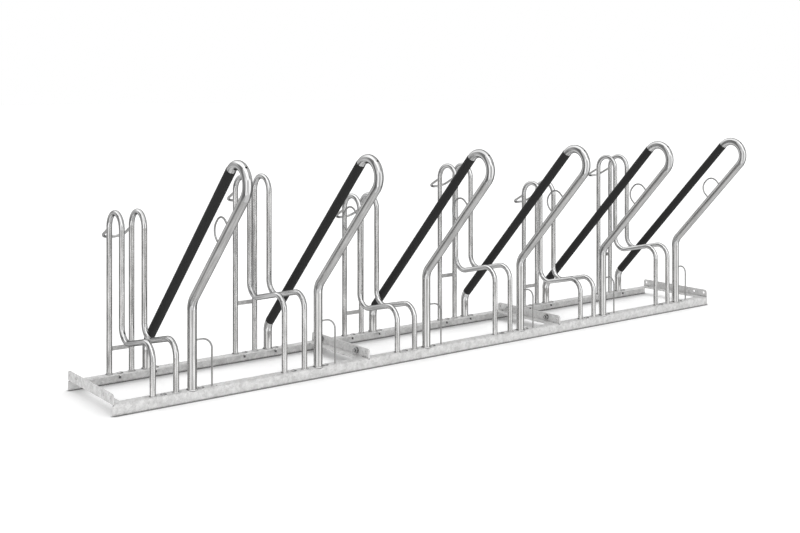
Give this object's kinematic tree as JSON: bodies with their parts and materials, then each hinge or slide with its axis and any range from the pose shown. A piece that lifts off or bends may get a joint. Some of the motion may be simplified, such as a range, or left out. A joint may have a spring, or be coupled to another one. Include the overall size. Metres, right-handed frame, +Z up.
{
  "type": "floor bike rack",
  "caption": "Galvanised floor bike rack of bolted modules: angle rails, pairs of wheel hoops at alternating heights, and sloping lean bars with grip sleeves and lock eyes",
  "frame": {"origin": "middle of the bounding box, on the floor", "axes": "+X along the rack from its left end to its right end as seen from the front, +Y from the front, where the lean bars reach out, to the back, +Z up"},
  "size_m": [3, 0.8255, 0.817],
  "materials": {
    "rail": "hot-dip galvanised, dull",
    "tube": "hot-dip galvanised, satin",
    "wire": "hot-dip galvanised, satin",
    "strap": "hot-dip galvanised, satin",
    "bolt": "zinc plated, satin",
    "sleeve": "matte"
  },
  "bodies": {
    "root": {"front_rail_1": "rail", "front_rail_2": "rail", "front_rail_3": "rail", "back_rail_1": "rail", "back_rail_2": "rail", "back_rail_3": "rail", "left_end_angle_1": "rail", "left_end_angle_2": "rail", "left_end_angle_3": "rail", "right_end_angle_1": "rail", "right_end_angle_2": "rail", "right_end_angle_3": "rail", "left_hoop_1": "tube", "left_hoop_2": "tube", "left_hoop_3": "tube", "left_hoop_4": "tube", "left_hoop_5": "tube", "left_hoop_6": "tube", "right_hoop_1": "tube", "right_hoop_2": "tube", "right_hoop_3": "tube", "right_hoop_4": "tube", "right_hoop_5": "tube", "right_hoop_6": "tube", "lean_bar_1": "tube", "lean_bar_2": "tube", "lean_bar_3": "tube", "lean_bar_4": "tube", "lean_bar_5": "tube", "lean_bar_6": "tube", "grip_sleeve_1": "sleeve", "grip_sleeve_2": "sleeve", "grip_sleeve_3": "sleeve", "grip_sleeve_4": "sleeve", "grip_sleeve_5": "sleeve", "grip_sleeve_6": "sleeve", "wheel_stop_1": "wire", "wheel_stop_2": "wire", "wheel_stop_3": "wire", "wheel_stop_4": "wire", "wheel_stop_5": "wire", "wheel_stop_6": "wire", "lock_eye_1": "wire", "lock_eye_2": "wire", "lock_eye_3": "wire", "lock_eye_4": "wire", "lock_eye_5": "wire", "lock_eye_6": "wire", "foot_loop_1": "wire", "foot_loop_2": "wire", "foot_loop_3": "wire", "foot_loop_4": "wire", "foot_loop_5": "wire", "foot_loop_6": "wire", "tie_straps": "strap", "rail_bolts": "bolt", "rail_nuts": "bolt", "coupling_bolts": "bolt", "coupling_nuts": "bolt", "coupling_washers": "bolt"}
  },
  "joints": []
}
